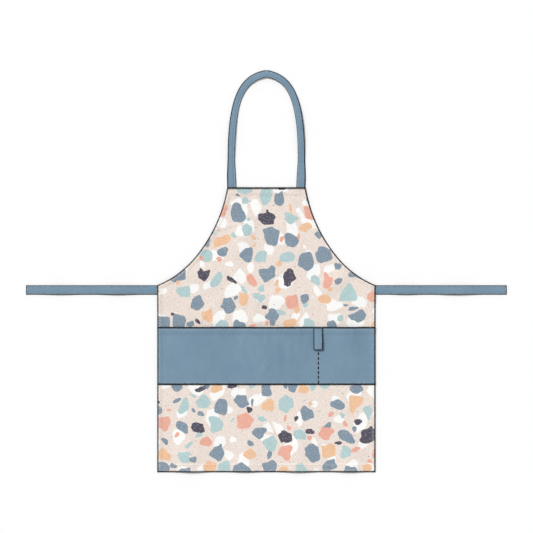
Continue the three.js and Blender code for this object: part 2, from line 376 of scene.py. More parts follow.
def startMaterial(name):
    material = bpy.data.materials.new(name)
    material.use_nodes = True
    tree = material.node_tree
    shader = tree.nodes["Principled BSDF"]
    return material, tree, shader


def flatPlace(tree):
    # the place on the flat cloth, in metres
    return node(tree, "ShaderNodeUVMap", uv_map="flatCloth").outputs[0]


def relief(tree, height, spec):
    # a bump too fine for the mesh: threads and their twist
    inputs = {"Strength": spec["strength"], "Distance": spec["relief"], "Height": height}
    return node(tree, "ShaderNodeBump", inputs).outputs[0]


# Lengths are metres. The spans give what the lowest and the highest slubs or crossings do.
weave = {
    "thread": 0.00056, "relief": 0.00016, "strength": 0.55,
    "slubLong": 0.016, "slubThin": 0.0009, "slubShare": 0.5, "slubSpan": (0.6, 1.4),
    "crinkle": 0.005, "crinkleShare": 2.2,
    # the two tone spans paint shade on the lowest slubs and crossings and light on the highest
    "slubPaintedShade": (0.93, 1.07), "slubRough": (0.96, 0.84), "crossingPaintedShade": (0.97, 1.03),
}
cottonSheen = {"Sheen Weight": 0.12, "Sheen Roughness": 0.45, "Specular IOR Level": 0.22}
rubSpan = (0.35, 0.65)  # the noise at which rubbed patches start and are full


def plainWeave(tree, place):
    # over and under threads: the product of one sine across the warp and one across the weft, so that raised
    # and sunken crossings alternate; slubs are noise drawn out along each of the two directions
    parts = node(tree, "ShaderNodeSeparateXYZ", {0: place})
    warp = calc(tree, "SINE", calc(tree, "MULTIPLY", parts.outputs[0], math.pi / weave["thread"]))
    weft = calc(tree, "SINE", calc(tree, "MULTIPLY", parts.outputs[1], math.pi / weave["thread"]))
    crossing = calc(tree, "MULTIPLY", warp, weft)
    drawnUp = vectorCalc(tree, "MULTIPLY", place, (weave["slubLong"] / weave["slubThin"], 1, 1))
    drawnOut = vectorCalc(tree, "MULTIPLY", place, (1, weave["slubLong"] / weave["slubThin"], 1))
    slubUp = noise(tree, drawnUp, weave["slubLong"])
    slubOut = noise(tree, drawnOut, weave["slubLong"])
    return crossing, calc(tree, "ADD", slubUp, slubOut)


def clothShader(tree, shader, place, colour, rubbed):
    # dye rubbed off along the edges in patches, then thread crossings and slubs that raise the bump, stir the
    # roughness a little, and paint shade on the low threads and light on the raised ones into the colour
    worn = node(tree, "ShaderNodeAttribute", attribute_name="worn").outputs["Fac"]
    patches = noise(tree, place, rubbed["patch"], detail=3.0)
    rub = calc(tree, "MULTIPLY", worn, remap(tree, patches, *rubSpan, 0, rubbed["strength"]))
    colour = mixColour(tree, rub, colour, paint(*rubbed["tone"]))
    crossing, slubs = plainWeave(tree, place)
    # painted shade and painted light: the colour darkens where slubs and crossings lie low and lightens where
    # they stand up
    slubPaintedShade = remap(tree, slubs, *weave["slubSpan"], *weave["slubPaintedShade"])
    crossingPaintedShade = remap(tree, crossing, -1, 1, *weave["crossingPaintedShade"])
    crinkle = noise(tree, place, weave["crinkle"], detail=3.0)
    height = calc(tree, "MULTIPLY_ADD", slubs, weave["slubShare"], crossing)
    height = calc(tree, "MULTIPLY_ADD", crinkle, weave["crinkleShare"], height)
    feed(tree, shader, {
        "Base Color": scaled(tree, colour, calc(tree, "MULTIPLY", slubPaintedShade, crossingPaintedShade)),
        "Roughness": remap(tree, slubs, *weave["slubSpan"], *weave["slubRough"]),
        "Normal": relief(tree, height, weave),
        **cottonSheen,
    })


# The print: chips of stone in a pale ground, laid pass over pass as a screen printer would

printInks = {
    "groundLow": (230, 215, 204),
    "groundHigh": (247, 235, 227),
    "white": (254, 254, 252),
    "blue": (133, 152, 168),
    "coral": (238, 178, 159),
    "peach": (242, 198, 161),
    "teal": (184, 209, 210),
    "charcoal": (86, 83, 97),
    "fleck": (186, 184, 190),
    "grit": (158, 160, 170),
    "back": (242, 234, 227),
}
# A pass strews chips over cells of its own. Lengths are metres: radius from the smallest chip to the largest,
# flat how near to the middle a side may come as a share of that, rounding how far a corner is eased, lobe and
# jag how far coarse and fine noise move the rim, lump the coarse noise's size, gap the ground left at the
# cell's border, soft half the width over which the ink's edge fades, clear the room kept from other chips.
# spread is how unevenly the cells lie, shift which stretch of them is used, stretch how far a chip is
# squeezed at most, filled the share of cells that hold one, overlaps the share that may lie on others, and
# inks the shares that have each ink. apart is the step between the inks of cells side by side, stray the
# chance added to it, and sharp what is different for the last ink.
paleChips = {
    "cell": 0.074, "spread": 0.85, "shift": (3.307, 0.913, 0), "radius": (0.0125, 0.028), "stretch": 0.34,
    "sides": 6, "flat": 0.74, "rounding": 0.011, "lobe": 0.013, "lump": 0.024, "jag": 0.002, "gap": 0.004,
    "soft": 0.0017, "filled": 0.97, "inks": [(1.0, "white")],
}
stones = {
    "cell": 0.064, "spread": 0.76, "shift": (1.113, 2.071, 0), "radius": (0.018, 0.0305), "stretch": 0.2,
    "sides": 6, "flat": 0.7, "rounding": 0.0115, "lobe": 0.0145, "lump": 0.022, "jag": 0.0014, "gap": 0.003,
    "soft": 0.0004, "filled": 1.0, "apart": (0.7549, 0.5698, 0), "stray": 0.05,
    "inks": [(0.39, "blue"), (0.1, "coral"), (0.31, "teal"), (0.12, "peach"), (0.08, "charcoal")],
    "sharp": {"share": 0.08, "rounding": 0.003, "jag": 0.0028},
}
smallChips = {
    "cell": 0.045, "spread": 0.9, "shift": (2.817, 3.764, 0), "radius": (0.0062, 0.0125), "stretch": 0.4,
    "sides": 6, "flat": 0.76, "rounding": 0.0058, "lobe": 0.006, "lump": 0.011, "jag": 0.0008, "gap": 0.001,
    "soft": 0.0004, "filled": 0.97, "clear": 0.007, "overlaps": 0.08,
    "inks": [
        (0.25, "blue"), (0.2, "teal"), (0.16, "coral"), (0.16, "peach"), (0.16, "charcoal"), (0.07, "white"),
    ],
}
jagSize = 0.005  # lumps of the fine noise
chipDraws = {"turn": 0, "stretch": 1, "size": 2, "ink": 3, "filled": 4, "overlaps": 5, "side": 10}
printBend = {"lump": 0.07, "reach": 0.016}  # how noise bends the whole layout
fineGrit = {"cell": 0.0085, "radius": (0.0004, 0.0011), "filled": 0.34}
coarseGrit = {"cell": 0.027, "radius": (0.0008, 0.0019), "filled": 0.42}
stoneFlecks = {"cell": 0.0056, "radius": (0.0006, 0.0017), "filled": 0.85}
gritTones = [(0.5, "grit"), (0.25, "coral"), (0.25, "white")]
fleckTones = [(0.92, "fleck"), (0.08, "peach")]
# flecks lie on inks darker than from; the two inks give their darkness and how far a fleck covers them
fleckCover = {"from": 0.6, "blue": (0.7, 0.62), "charcoal": (0.91, 0.4)}
inkMottle = {"lump": 0.0042, "span": (0.9, 1.1)}
inkDrift = {"lump": 0.008, "warm": (1.035, 1.0, 0.955), "cool": (0.965, 1.0, 1.045)}
paleCover = (0.88, 1.0)  # how fully the white covers the ground
printRub = {"tone": (250, 245, 240), "strength": 0.3, "patch": 0.006}


def palette(tree, value, inks):
    # value from 0 to 1 picks one of the inks, each with its own share of the range
    ramp = node(tree, "ShaderNodeValToRGB", {0: value})
    ramp.color_ramp.interpolation = "CONSTANT"
    elements = ramp.color_ramp.elements
    start = 0.0
    for number, (share, ink) in enumerate(inks):
        spot = elements[number] if number < 2 else elements.new(start)  # a new ramp has two
        spot.position = start
        spot.color = paint(*printInks[ink])
        start += share
    return ramp.outputs[0]


def inkNumber(tree, cell, spec):
    # where in the palette a cell's ink lies: by chance, or from the cell's row and column so that cells side
    # by side are far apart there, with a little chance on top
    drawn = chance(tree, cell, chipDraws["ink"])
    if "apart" not in spec:
        return drawn
    square = vectorCalc(tree, "FLOOR", scaled(tree, cell.outputs["Position"], 1 / spec["cell"]))
    stepped = vectorCalc(tree, "DOT_PRODUCT", square, spec["apart"])
    return calc(tree, "FRACT", calc(tree, "MULTIPLY_ADD", drawn, spec["stray"], stepped))


def chipRoom(tree, place, spec):
    # each cell holds a chip with flat sides: a side's room is its share of the radius less the way out
    # towards it, on an offset that is turned and stretched at random; a smooth minimum over the sides rounds
    # the corners, noise moves the rim, and a last smooth minimum keeps the chip off the cell's border. The
    # last ink may have sharper corners. The room is above 0 inside the chip.
    moved = vectorCalc(tree, "ADD", place, spec["shift"])
    cell = cells(tree, moved, spec["cell"], "F1", spec["spread"])
    turn, stretch, size = (chance(tree, cell, chipDraws[what]) for what in ("turn", "stretch", "size"))
    ink = inkNumber(tree, cell, spec)
    rounding, jag = spec["rounding"], spec["jag"]
    if "sharp" in spec:
        isSharp = calc(tree, "GREATER_THAN", ink, 1 - spec["sharp"]["share"])
        rounding = remap(tree, isSharp, 0, 1, rounding, spec["sharp"]["rounding"])
        jag = remap(tree, isSharp, 0, 1, jag, spec["sharp"]["jag"])
    offset = vectorCalc(tree, "SUBTRACT", moved, cell.outputs["Position"])
    angle = calc(tree, "MULTIPLY", turn, 2 * math.pi)
    turned = node(tree, "ShaderNodeVectorRotate", {"Vector": offset, "Angle": angle}, rotation_type="Z_AXIS")
    long = remap(tree, stretch, 0, 1, 1 - spec["stretch"], 1)
    squeeze = node(tree, "ShaderNodeCombineXYZ", {0: long, 1: calc(tree, "DIVIDE", 1, long), 2: 0.0})
    spot = vectorCalc(tree, "MULTIPLY", turned.outputs[0], squeeze.outputs[0])
    radius = remap(tree, size, 0, 1, *spec["radius"])
    room = radius
    for side in range(spec["sides"]):
        towards = 2 * math.pi * side / spec["sides"]
        share = remap(tree, chance(tree, cell, chipDraws["side"] + side), 0, 1, spec["flat"], 1)
        reach = vectorCalc(tree, "DOT_PRODUCT", spot, (math.cos(towards), math.sin(towards), 0))
        toSide = calc(tree, "SUBTRACT", calc(tree, "MULTIPLY", radius, share), reach)
        room = calc(tree, "SMOOTH_MIN", room, toSide, rounding)
    for lump, height in ((spec["lump"], spec["lobe"]), (jagSize, jag)):
        swing = calc(tree, "SUBTRACT", noise(tree, moved, lump, detail=0.0), 0.5)
        room = calc(tree, "MULTIPLY_ADD", swing, height, room)
    border = cells(tree, moved, spec["cell"], "DISTANCE_TO_EDGE", spec["spread"]).outputs["Distance"]
    toBorder = calc(tree, "MULTIPLY_ADD", border, spec["cell"], -spec["gap"])
    return calc(tree, "SMOOTH_MIN", room, toBorder, rounding), cell, ink


def chips(tree, place, spec, others=None):
    # a pass of chips: how much each place is covered by one, and its ink; a chip whose middle lies on or too
    # near one of the others is left out, but for a few
    room, cell, ink = chipRoom(tree, place, spec)
    here = remap(tree, room, -spec["soft"], spec["soft"], 0, 1)
    filled = calc(tree, "LESS_THAN", chance(tree, cell, chipDraws["filled"]), spec["filled"])
    here = calc(tree, "MULTIPLY", here, filled)
    if others:
        middle = vectorCalc(tree, "SUBTRACT", cell.outputs["Position"], spec["shift"])
        roomThere, _, _ = chipRoom(tree, middle, others)
        away = calc(tree, "LESS_THAN", roomThere, -spec["clear"])
        anyway = calc(tree, "LESS_THAN", chance(tree, cell, chipDraws["overlaps"]), spec["overlaps"])
        here = calc(tree, "MULTIPLY", here, calc(tree, "MAXIMUM", away, anyway))
    return here, palette(tree, ink, spec["inks"])


def dots(tree, place, spec):
    # specks: round each cell's point, as far as the cell's own small radius
    cell = cells(tree, place, spec["cell"], "F1")
    size, ink, filled = (chance(tree, cell, draw) for draw in range(3))
    radius = remap(tree, size, 0, 1, *(reach / spec["cell"] for reach in spec["radius"]))
    here = calc(tree, "LESS_THAN", cell.outputs["Distance"], radius)
    return calc(tree, "MULTIPLY", here, calc(tree, "LESS_THAN", filled, spec["filled"])), ink


def gritOver(tree, place, colour, spec):
    # specks of three inks in the ground
    here, ink = dots(tree, place, spec)
    return mixColour(tree, here, colour, palette(tree, ink, gritTones))


def flecksOver(tree, place, colour):
    # pale specks in the dark inks, less the darker the ink is
    here, ink = dots(tree, place, stoneFlecks)
    dark = calc(tree, "SUBTRACT", 1, node(tree, "ShaderNodeRGBToBW", {0: colour}).outputs[0])
    (blueDark, blueCover), (coalDark, coalCover) = fleckCover["blue"], fleckCover["charcoal"]
    cover = remap(tree, dark, blueDark, coalDark, blueCover, coalCover)
    onDark = calc(tree, "MULTIPLY", here, calc(tree, "GREATER_THAN", dark, fleckCover["from"]))
    return mixColour(tree, calc(tree, "MULTIPLY", onDark, cover), colour, palette(tree, ink, fleckTones))


def printedCotton(name, faded):
    # faded 0 is the printed face; towards 1 the ink shows through paler, as on the cloth's back
    material, tree, shader = startMaterial(name)
    place = flatPlace(tree)
    drawn = noise(tree, place, printBend["lump"], detail=1.0, output="Color")
    swing = vectorCalc(tree, "SUBTRACT", drawn, (0.5, 0.5, 0.5))
    bent = vectorCalc(tree, "ADD", place, scaled(tree, swing, printBend["reach"]))
    mottle = clouds(tree, place, inkMottle["lump"], detail=3.0)
    stir = remap(tree, mottle, 0, 1, *inkMottle["span"])
    drift = clouds(tree, place, inkDrift["lump"])
    tint = mixColour(tree, drift, (*inkDrift["warm"], 1), (*inkDrift["cool"], 1))
    colour = mixColour(tree, mottle, paint(*printInks["groundLow"]), paint(*printInks["groundHigh"]))
    colour = gritOver(tree, place, colour, fineGrit)
    paleHere, pale = chips(tree, bent, paleChips)
    cover = remap(tree, mottle, 0, 1, *paleCover)
    colour = mixColour(tree, calc(tree, "MULTIPLY", paleHere, cover), colour, pale)
    colour = gritOver(tree, place, colour, coarseGrit)
    for here, ink in (chips(tree, bent, stones), chips(tree, bent, smallChips, stones)):
        stirred = vectorCalc(tree, "MULTIPLY", scaled(tree, ink, stir), tint)
        colour = mixColour(tree, here, colour, stirred)
    colour = flecksOver(tree, place, colour)
    if faded:
        colour = mixColour(tree, faded, colour, paint(*printInks["back"]))
    clothShader(tree, shader, place, colour, printRub)
    return material


blueDye = {"base": (119, 146, 167), "light": (125, 151, 171), "cloud": 0.07}
blueRub = {"tone": (176, 194, 206), "strength": 0.4, "patch": 0.006}


def blueCotton(name):
    # dyed in the piece: the tone drifts a little in clouds
    material, tree, shader = startMaterial(name)
    place = flatPlace(tree)
    cloud = clouds(tree, place, blueDye["cloud"], detail=3.0)
    colour = mixColour(tree, cloud, paint(*blueDye["base"]), paint(*blueDye["light"]))
    clothShader(tree, shader, place, colour, blueRub)
    return material


# dark is the painted shade in the twist's grooves, as a share of the thread's own tone
threadTwist = {
    "pitch": 0.0007, "dark": 0.84, "relief": 0.0001, "strength": 0.5, "rough": (0.75, 0.6), "specular": 0.3,
}
threadTones = {"cream": (229, 214, 203), "blue": (112, 138, 158), "dark": (18, 28, 38)}


def sewingThread(dye):
    # twisted thread: slanting bands round the stitch, as a sine of the way round plus the way along; the
    # grooves between the bands get painted shade in the colour
    material, tree, shader = startMaterial(dye + "_thread")
    tone = threadTones[dye]
    parts = node(tree, "ShaderNodeSeparateXYZ", {0: flatPlace(tree)})
    slant = calc(tree, "ADD", parts.outputs[0], parts.outputs[1])
    twist = calc(tree, "SINE", calc(tree, "MULTIPLY", slant, 2 * math.pi / threadTwist["pitch"]))
    # painted shade: the grooves of the twist take a darker copy of the thread's tone
    grooveShadeTone = tuple(threadTwist["dark"] * channel for channel in tone)
    feed(tree, shader, {
        "Base Color": mixColour(tree, remap(tree, twist, -1, 1, 0, 1), paint(*grooveShadeTone), paint(*tone)),
        "Roughness": remap(tree, twist, -1, 1, *threadTwist["rough"]),
        "Specular IOR Level": threadTwist["specular"],
        "Normal": relief(tree, twist, threadTwist),
    })
    return material


printFace = printedCotton("printed_cotton_face", faded=0)
printBack = printedCotton("printed_cotton_back", faded=0.68)
blueFace = blueCotton("blue_cotton")
creamThread, blueThread, darkThread = (sewingThread(dye) for dye in threadTones)
print("materials made:", len(bpy.data.materials))


# Body: bib and skirt in one panel

bodyLow, bodyHigh = solidCorners("apron_body")
tieLow, tieHigh = solidCorners("tie_right")
strapLow, strapHigh = solidCorners("neck_strap")
body = {
    "width": bodyHigh[0] - bodyLow[0], "length": bodyHigh[1], "bibWidth": 233, "shoulder": 557,
    "armLean": 9.7, "armTurn": 30.5,  # degrees by which the armhole leans out at the bib, and then turns on
    "armRadius": 444,  # of its upper arc
    "sideHem": 12, "endHem": 22, "hemStep": 2.5,
    "sideSeam": 9.5, "endSeam": 19,  # rows that hold the hems, from the cut edge
    "columns": 150, "skirtStep": 3.8, "bibStep": 3.2,
    "sideLines": [6.4], "footLines": [7.5], "endLines": [11, 14.5],  # more grid lines in the hems
    "pucker": {"height": 0.34, "pace": 12, "lean": 0.5, "reach": 9},
    "puckerShift": 7,  # so that the two sides pucker in different places
    "sidePucker": (6, 30), "endPucker": (4, 24),  # where the puckers grow, from the ends and from the sides
    "folds": {
        "seed": 11, "count": 130, "low": (-320, 10), "high": (320, 840), "turn": (0, 180),
        "reach": (26, 95), "wide": (7, 20), "height": (0.2, 1.0), "bend": 0.25,
    },
    "foldsClear": (4, 26),  # small folds grow between these distances from an edge
    "pocketClear": 16,  # and fade out this far from the pocket, which holds the cloth flat
    "backStep": 0.35,  # the single layer lies this much higher than the hem on the back
}
ties = {
    "width": tieHigh[1] - tieLow[1], "middle": (tieLow[1] + tieHigh[1]) / 2,
    "length": tieHigh[0] - bodyHigh[0], "tail": bodyHigh[0] - tieLow[0],
    "tipClear": 8,  # the even part of the grid stops this far from the tip
}
strap = {
    "width": 21, "footWidth": 27, "footFlare": 75,
    "height": strapHigh[1] - body["length"],  # up to the crown's outer edge
    "tail": body["length"] - strapLow[1],
    "outerEdge": 3.4, "innerEdge": 1.5,  # how far in the threads reach on its two edges
    "ahead": 1.0,  # its heading is taken from this far on both sides
}
strapFootX = (body["bibWidth"] - strap["footWidth"]) / 2
tapeSeat = cloth["tape"] + cloth["seamGap"]

# swells that lift the cloth off the table: x, y, turn in degrees, level and fading reach along the crest,
# the same across it, and the height
strapSeat = (0, 30, 70, 20, 32, tapeSeat)
tieSeat = (0, 20, 40, 28, 50, tapeSeat)
bodySwells = [
    # over the sewn-in ends of the strap and the ties
    (-strapFootX, body["length"], *strapSeat),
    (strapFootX, body["length"], *strapSeat),
    (-body["width"] / 2, ties["middle"], *tieSeat),
    (body["width"] / 2, ties["middle"], *tieSeat),
    # flutes that run up from the bottom hem
    (-222, 0, 5, 30, 180, 0, 64, 5.5),
    (-64, 0, -8, 20, 150, 0, 58, 3.5),
    (96, 0, 7, 25, 170, 0, 62, 5),
    (248, 0, -6, 20, 140, 0, 56, 4),
    # slack in the bib and along the armholes
    (-62, 722, -24, 10, 120, 0, 46, 3.5),
    (66, 690, 31, 10, 130, 0, 48, 4),
    (-196, 588, 62, 0, 110, 0, 44, 4.5),
    (212, 574, -58, 0, 105, 0, 42, 4),
    (4, 520, 84, 20, 120, 0, 40, 3),
]


def facing(turn):
    # the unit vector at an angle: its cosine and its sine
    return np.array([math.cos(turn), math.sin(turn)])


def armholeArcs():
    # two arcs, centred outside the cloth: the upper one leans out from the bib's corner and turns on, and the
    # lower one carries on smoothly to the shoulder. Gives their radii and centres, and the turns at which
    # they start, meet and end, measured at the centres.
    corner = np.array([body["bibWidth"] / 2, body["length"]])
    shoulder = np.array([body["width"] / 2, body["shoulder"]])
    start = math.radians(body["armLean"])
    meet = start + math.radians(body["armTurn"])
    upper = corner + body["armRadius"] * facing(start)
    chord = shoulder - (upper - body["armRadius"] * facing(meet))
    lowerRadius = chord @ chord / (2 * chord @ facing(meet))
    lower = shoulder - chord + lowerRadius * facing(meet)
    end = math.atan2(lower[1] - shoulder[1], lower[0] - shoulder[0])
    return np.array([body["armRadius"], lowerRadius]), np.array([upper, lower]), (start, meet, end)


armRadii, armCentres, (armStart, armMeet, armEnd) = armholeArcs()
upperArmLength = armRadii[0] * (armMeet - armStart)
armLength = upperArmLength + armRadii[1] * (armEnd - armMeet)


def halfWidth(y, inset):
    # half the panel's width at height y: the straight side, or the armhole's arc where that is nearer
    meetY = armCentres[1, 1] - (armRadii[1] + inset) * math.sin(armMeet)
    arc = np.where(y > meetY, 0, 1)
    radius = armRadii[arc] + inset
    drop = np.maximum(armCentres[arc, 1] - y, 0)
    toArc = armCentres[arc, 0] - np.sqrt(np.maximum(radius**2 - drop**2, 0))
    return np.minimum(body["width"] / 2 - inset, np.where(drop < radius, toArc, np.inf))


def nearArc(x, y):
    # which arc a point lies off, by its side of the line through both centres, and the way to that centre
    ahead = (y - armCentres[1, 1]) * math.cos(armMeet) - (np.abs(x) - armCentres[1, 0]) * math.sin(armMeet)
    arc = np.where(ahead > 0, 0, 1)
    return arc, armCentres[arc] - np.stack([np.abs(x), y], -1)


def armPlace(along, inset):
    # the spot some way down the right armhole from the bib's corner, and some way in from its edge
    arc = np.where(along < upperArmLength, 0, 1)
    past = along - np.array([0, upperArmLength])[arc]
    turn = np.array([armStart, armMeet])[arc] + past / armRadii[arc]
    reach = armRadii[arc] + inset
    return armCentres[arc, 0] - reach * np.cos(turn), armCentres[arc, 1] - reach * np.sin(turn)


def bodyInsets(x, y):
    # how far in a point is from the sides, straight or armhole, and from the bottom and the bib's top
    arc, toCentre = nearArc(x, y)
    toArm = np.linalg.norm(toCentre, axis=-1) - armRadii[arc]
    toSide = body["width"] / 2 - np.abs(x)
    return np.minimum(toArm, toSide), np.minimum(y, body["length"] - y), toArm < toSide


def bodyLift(x, y):
    # the swells' sum: each a squared cosine along its crest times one across it
    lift = np.zeros(np.broadcast(x, y).shape)
    for middleX, middleY, degrees, flatLong, fadeLong, flatWide, fadeWide, height in bodySwells:
        turn = math.radians(degrees)
        way = -(x - middleX) * math.sin(turn) + (y - middleY) * math.cos(turn)
        across = (x - middleX) * math.cos(turn) + (y - middleY) * math.sin(turn)
        lift += height * hump(way, flatLong, fadeLong) * hump(across, flatWide, fadeWide)
    return lift


def bodySurface(x, y):
    # the table's height plus swells and small folds gives the underside; the layer, the turned hems and their
    # puckers go on top of it, and stitch rows press valleys into both faces
    sideInset, endInset, onArm = bodyInsets(x, y)
    arc, toCentre = nearArc(x, y)
    armAlong = armRadii[arc] * (np.arctan2(toCentre[..., 1], toCentre[..., 0]) - armMeet)
    sideAlong = np.where(onArm, armAlong, y)
    sideBand = 1 - ease(sideInset, body["sideHem"], body["sideHem"] + body["hemStep"])
    endBand = 1 - ease(endInset, body["endHem"], body["endHem"] + body["hemStep"])
    band = np.maximum(sideBand, endBand)
    pocketMiddle = (pocket["bottom"] + pocket["top"]) / 2
    clear = 1 - hump(y - pocketMiddle, pocket["top"] - pocketMiddle, body["pocketClear"])
    inner = ease(np.minimum(sideInset, endInset), *body["foldsClear"])
    low = bodyLift(x, y) + softFolds(x, y, body["folds"]) * inner * clear
    fromSide = sideInset - body["sideSeam"]
    fromEnd = endInset - body["endSeam"]
    sideRipple = pucker(sideAlong + body["puckerShift"] * np.sign(x), fromSide, body["pucker"])
    sideRipple = sideRipple * ease(endInset, *body["sidePucker"]) * clear
    ripple = sideRipple + pucker(x, fromEnd, body["pucker"]) * ease(sideInset, *body["endPucker"])
    sewn = valleys([sideInset, endInset], [body["sideSeam"], body["endSeam"]])
    endReach = np.where(y > body["length"] / 2, cloth["bibEdge"], cloth["panelEdge"])
    edge = np.maximum(pressed(sideInset, cloth["panelEdge"]), pressed(endInset, endReach))
    high = low + cloth["layer"] * (1 + band) + ripple - seamGroove["front"] * sewn - edge
    under = low + body["backStep"] * (1 - band) + seamGroove["back"] * sewn + edge
    return bothFaces(x, y, under, high)


def turnedHem(x, y):
    # which points of the back lie on a turned hem, and the cloth that shows there: each point mirrored in the
    # fold that its hem was turned over
    sideInset, endInset, onArm = bodyInsets(x, y)
    outward = np.where(onArm[..., None], unit(nearArc(x, y)[1]), np.array([1.0, 0.0]))
    outward = outward * np.stack([np.sign(x), np.ones_like(x)], -1)
    fromSide = np.stack([x, y], -1) + 2 * sideInset[..., None] * outward
    fromEnd = np.stack([x, np.where(y < body["length"] / 2, -y, 2 * body["length"] - y)], -1)
    onEnd = endInset <= body["endHem"] + cloth["roll"]
    onSide = sideInset <= body["sideHem"] + cloth["roll"]
    return onEnd | onSide, np.where(onEnd[..., None], fromEnd, fromSide)


# Pocket: one wide panel, sewn down at the sides, the bottom and the divider, its mouth gaping

pocketLow, pocketHigh = solidCorners("front_pocket")
loopLow, loopHigh = solidCorners("towel_loop")
pocket = {
    "bottom": pocketLow[1],
    "top": pocketHigh[1] + 2,  # the wrapped mouth stands a little above the solid's
    "divider": (loopLow[0] + loopHigh[0]) / 2,  # the loop hangs over it
    "fullness": 1.1,  # the power with which it opens towards the mouth
    # the mouth's hem and the turned-in foot: depth, stitch row and where their inner edge slopes off
    "hem": 20, "hemSeam": 17, "hemSlope": (19.5, 22),
    "turned": 9, "turnedSeam": 8.2, "turnedSlope": (9, 11), "turnedExtra": 0.9,
    "sideSlope": (11, 14.5),  # where it comes down off the body's side hems
    "columns": 190, "rowStep": 3.2, "fieldInset": 16,  # the even part of the grid starts there
    "sideLines": [8, 12, 14], "footLines": [6.5], "mouthLines": [10, 13],  # more grid lines at the edges
    "pucker": {"height": 0.3, "pace": 13, "lean": 0.4, "reach": 10},
    "mouthPucker": (4, 24), "footPucker": (0, 5),  # where the puckers grow, from the sides and from the foot
    "footShare": 0.8, "footShift": 5,  # how strong those at the foot are, and how far along
    "looseSide": (10, 40), "looseFoot": (6, 50), "looseDivider": (10, 40),  # where small folds grow
    "folds": {
        "seed": 5, "count": 26, "low": (-300, 300), "high": (300, 440), "turn": (-24, 24),
        "reach": (40, 110), "wide": (9, 24), "height": (0.3, 1.2), "bend": 0.2,
    },
    "gapes": [(-196, 112, 8), (14, 126, 11.5), (238, 70, 10.5)],  # of the mouth: x, reach, height
}


def pocketSurface(x, y):
    # each gape is a squared cosine across times a power of the way up from the bottom seam; small folds fade
    # out at every sewn line
    way = (y - pocket["bottom"]) / (pocket["top"] - pocket["bottom"])
    openness = np.clip(way, 0, 1) ** pocket["fullness"]
    gapes = sum(height * hump(x - middle, 0, reach) for middle, reach, height in pocket["gapes"])
    rise = gapes * openness
    sideInset = body["width"] / 2 - np.abs(x)
    onHem = 1 - ease(sideInset, *pocket["sideSlope"])
    fromDivider = np.abs(x - pocket["divider"])
    fromTop = pocket["top"] - y
    fromBottom = y - pocket["bottom"]
    loose = ease(sideInset, *pocket["looseSide"]) * ease(fromBottom, *pocket["looseFoot"])
    folds = softFolds(x, y, pocket["folds"]) * (loose * ease(fromDivider, *pocket["looseDivider"]))
    low = cloth["layer"] * (1 + onHem) + cloth["seamGap"] + rise + folds
    topHem = 1 - ease(fromTop, *pocket["hemSlope"])
    turnedIn = 1 - ease(fromBottom, *pocket["turnedSlope"])
    thick = cloth["layer"] * (1 + topHem) + pocket["turnedExtra"] * turnedIn
    mouthRipple = pucker(x, fromTop - pocket["hemSeam"], pocket["pucker"])
    mouthRipple = mouthRipple * ease(sideInset, *pocket["mouthPucker"])
    footRipple = pucker(x + pocket["footShift"], fromBottom - pocket["turned"], pocket["pucker"])
    footRipple = pocket["footShare"] * footRipple * ease(fromBottom, *pocket["footPucker"])
    sewn = valleys([fromTop, fromBottom, fromDivider], [pocket["hemSeam"], pocket["turnedSeam"], 0])
    mouthPress = pressed(fromTop, cloth["mouthEdge"])
    edge = np.maximum(mouthPress, pressed(np.minimum(fromBottom, sideInset), cloth["panelEdge"]))
    high = low + thick + (mouthRipple + footRipple) - seamGroove["front"] * sewn - edge
    return bothFaces(x, y, low + mouthPress, high)


def seamLines(row):
    # grid lines at a stitch row and close on both sides of it
    return [row - seamGroove["near"], row, row + seamGroove["near"]]


def edgeLines(reach):
    # grid lines at an edge and where the press of its threads eases out
    middle = (edgePress["after"] - edgePress["before"]) / 2
    return [cloth["roll"], reach - edgePress["before"], reach + middle, reach + edgePress["after"]]


def makeBody():
    # rows of points from hem to bib, closer at hems, seams and edges. Along a row x is a share of half the
    # width that the panel has there, at an inset that is the same from hem to bib.
    edges = edgeLines(cloth["panelEdge"])
    stepLines = np.array([0, 0.5, 1]) * body["hemStep"]  # grid lines where a hem steps down to one layer
    sideStep = body["sideHem"] + stepLines
    endStep = body["endHem"] + stepLines
    sideInsets = np.concatenate([edges, body["sideLines"], seamLines(body["sideSeam"]), sideStep])
    endInsets = np.concatenate([body["endLines"], seamLines(body["endSeam"]), endStep])
    foot = np.concatenate([edges, body["footLines"], endInsets])
    head = np.concatenate([edgeLines(cloth["bibEdge"]), endInsets])
    fieldShares = np.linspace(-1, 1, body["columns"])[1:-1]
    shares = np.concatenate([-np.ones(len(sideInsets)), fieldShares, np.ones(len(sideInsets))])
    insets = np.concatenate([sideInsets, np.full(len(fieldShares), sideStep[-1]), sideInsets[::-1]])
    skirt = spaced(endStep[-1], body["shoulder"], body["skirtStep"])[1:]
    bib = spaced(body["shoulder"], body["length"] - endStep[-1], body["bibStep"])[1:-1]
    y = np.concatenate([foot, skirt, bib, body["length"] - head[::-1]])
    x = shares[None, :] * halfWidth(y[:, None], insets[None, :])
    y = np.broadcast_to(y[:, None], x.shape)
    under, upper = bodySurface(x, y)
    sideInset, endInset, _ = bodyInsets(x, y)
    clear = np.minimum(sideInset, endInset) - cloth["panelEdge"]
    finishes = [printFace, printBack]
    return clothWall("body_cloth", upper, under, np.stack([x, y], -1), clear, finishes, turnedHem(x, y))


